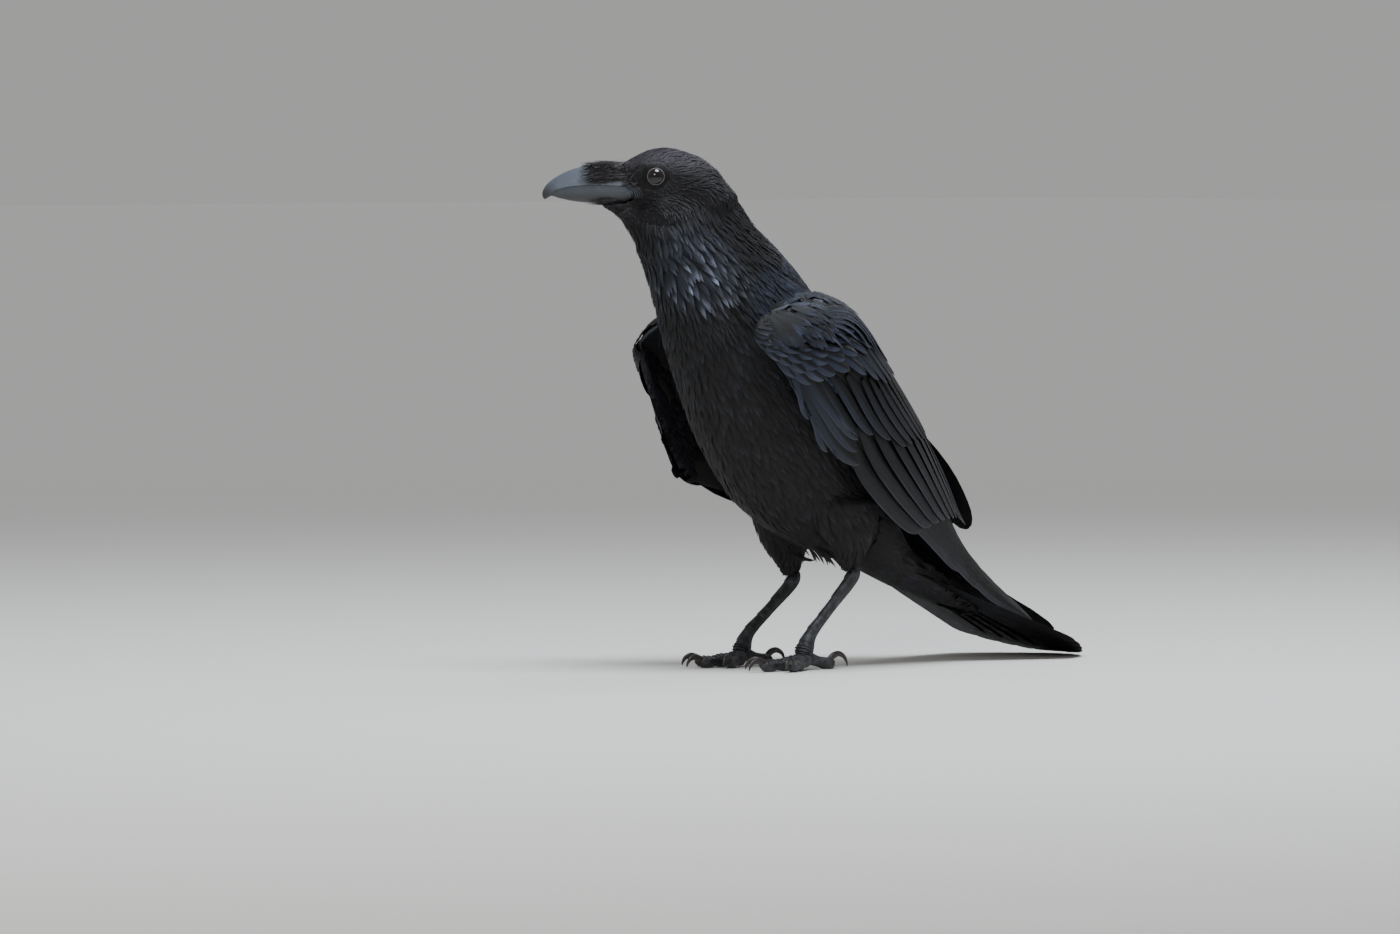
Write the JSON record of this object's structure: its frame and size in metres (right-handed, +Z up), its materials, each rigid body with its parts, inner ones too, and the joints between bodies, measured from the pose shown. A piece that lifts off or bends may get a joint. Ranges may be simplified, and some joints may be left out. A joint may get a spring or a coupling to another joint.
{
  "type": "raven",
  "caption": "Life-size standing raven with folded wings, its head turned to the right and its tail resting on the floor.",
  "frame": {"origin": "middle of the bird's box, on the floor that it stands on", "axes": "+X points back along the tail and -X the way the breast faces, -Y is the bird's left side, +Z is up"},
  "size_m": [0.496, 0.178, 0.405],
  "materials": {
    "plumage": "short black feathers with a faint blue-violet sheen",
    "flight": "long stiff black feathers, satin, brownish towards the tips",
    "bill": "satin slate-grey horn",
    "leg": "scaly dark slate skin",
    "claw": "satin dark brown horn",
    "eye": "wet and glossy, dark brown"
  },
  "bodies": {
    "root": {"head": "plumage", "neck": "plumage", "trunk": "plumage", "thigh_left": "plumage", "thigh_right": "plumage", "wing_left": "flight", "wing_right": "flight", "tail": "flight", "bill_upper": "bill", "bill_lower": "bill", "eye_left": "eye", "eye_right": "eye", "tarsus_left": "leg", "tarsus_right": "leg", "foot_left": "leg", "foot_right": "leg", "claw_left_hind": "claw", "claw_left_inner": "claw", "claw_left_middle": "claw", "claw_left_outer": "claw", "claw_right_hind": "claw", "claw_right_inner": "claw", "claw_right_middle": "claw", "claw_right_outer": "claw"}
  },
  "joints": []
}
